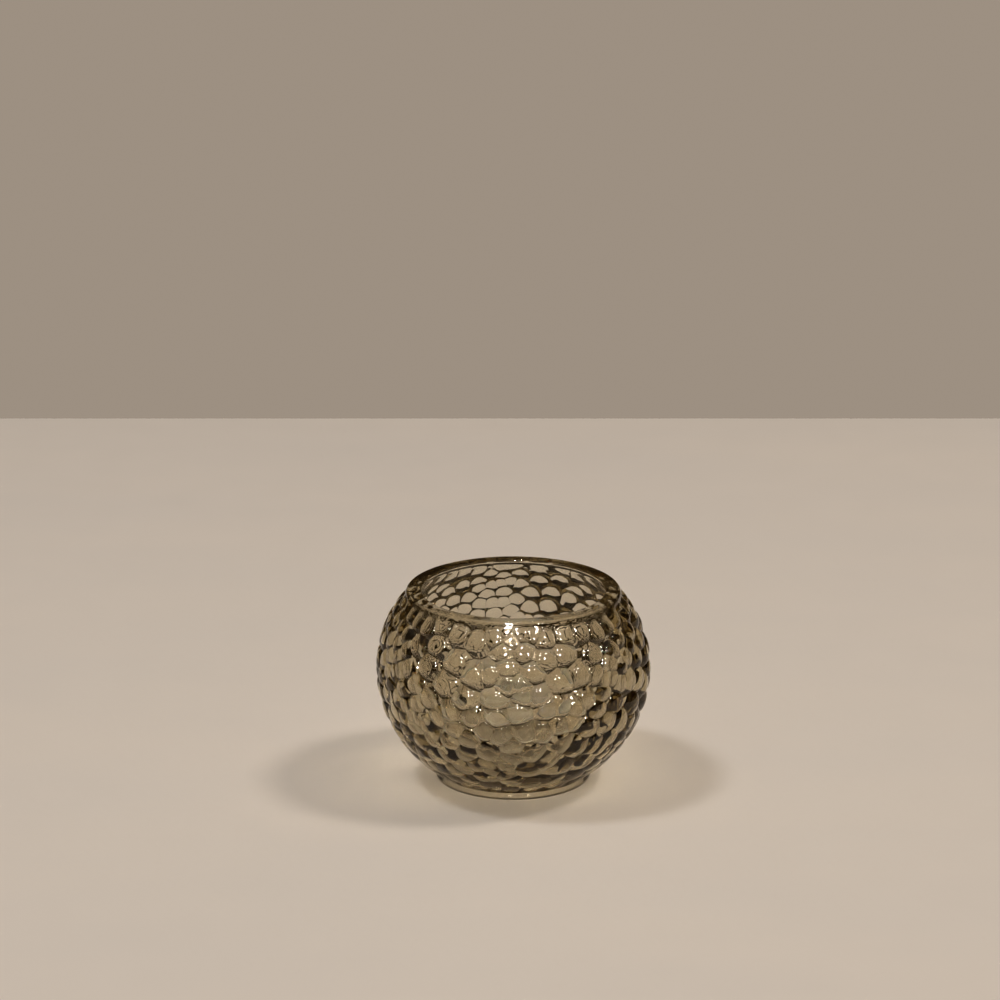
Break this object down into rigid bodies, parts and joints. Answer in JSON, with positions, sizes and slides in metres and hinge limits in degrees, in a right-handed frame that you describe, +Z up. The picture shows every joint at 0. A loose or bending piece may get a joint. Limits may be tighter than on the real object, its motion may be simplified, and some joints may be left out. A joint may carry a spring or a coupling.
{
  "type": "tealight holder",
  "caption": "Round pebbled smoke-glass tealight holder, a squat globe with a flat rim and a small foot, with a lift-out tealight in an aluminium cup.",
  "frame": {"origin": "centre of the foot, on the surface that the holder stands on", "axes": "+Z up along the bowl's axis; the bowl is round, so +X and +Y are free"},
  "size_m": [0.0846, 0.0849, 0.0602],
  "materials": {
    "smoke_glass": "fire-polished, transparent olive-grey tint",
    "cup_aluminium": "thin drawn foil, satin",
    "candle_wax": "smooth, slightly translucent, greige",
    "tinned_steel": "dull tin plate",
    "wick_cotton": "braided, unburnt"
  },
  "bodies": {
    "holder": {"glass_bowl": "smoke_glass"},
    "tealight": {"tealight_cup": "cup_aluminium", "tealight_wax": "candle_wax", "wick_sustainer": "tinned_steel", "tealight_wick": "wick_cotton"}
  },
  "joints": [
    {"name": "tealight_lift", "type": "slide", "parent": "holder", "child": "tealight", "axis": [0, 0, 1], "range_m": [0, 0.08]}
  ]
}
